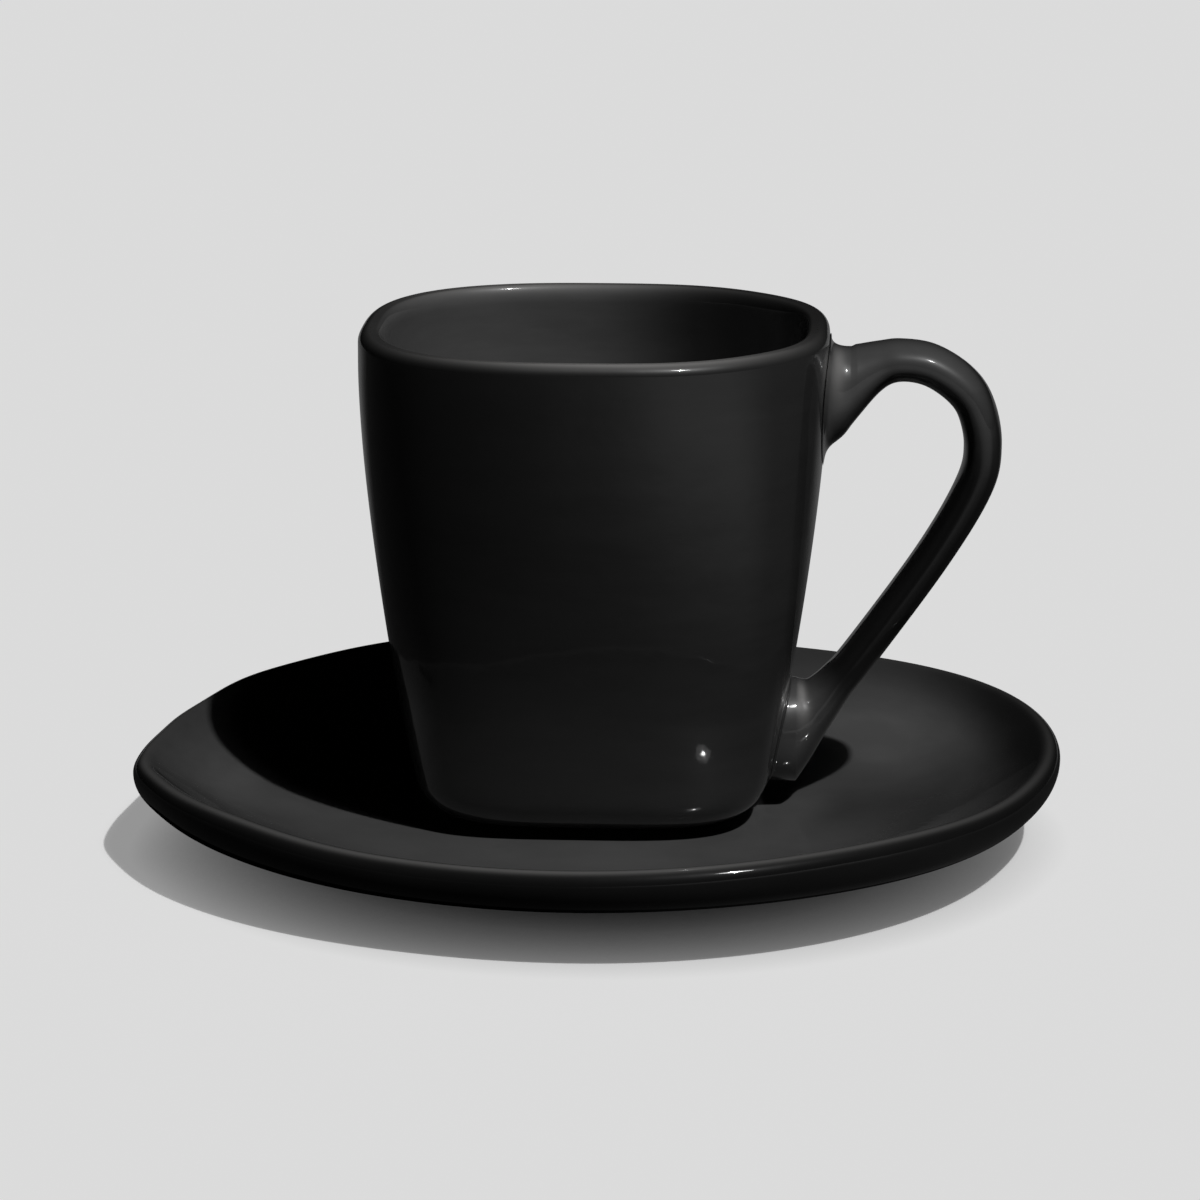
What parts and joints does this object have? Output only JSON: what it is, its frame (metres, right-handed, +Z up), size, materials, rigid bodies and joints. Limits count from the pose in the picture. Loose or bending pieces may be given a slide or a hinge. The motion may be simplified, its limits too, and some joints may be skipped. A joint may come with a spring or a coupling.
{
  "type": "square cup and saucer",
  "caption": "Soft-square glazed cup with a looped strap handle, standing loose on the flat seat of its softly squared saucer.",
  "frame": {"origin": "on the table, under the middle of the saucer", "axes": "+Z up, +X towards the handle, -Y towards the front face of the cup"},
  "size_m": [0.1622, 0.1622, 0.0921],
  "materials": {
    "cup_glaze": "gloss",
    "saucer_glaze": "gloss",
    "fired_slip": "gloss"
  },
  "bodies": {
    "saucer": {"saucer": "saucer_glaze"},
    "cup": {"cup_body": "cup_glaze", "handle": "cup_glaze", "upper_slip_seam": "fired_slip", "lower_slip_seam": "fired_slip"}
  },
  "joints": [
    {"name": "cup_lift", "type": "slide", "parent": "saucer", "child": "cup", "axis": [0, 0, 1], "range_m": [0, 0.12]}
  ]
}
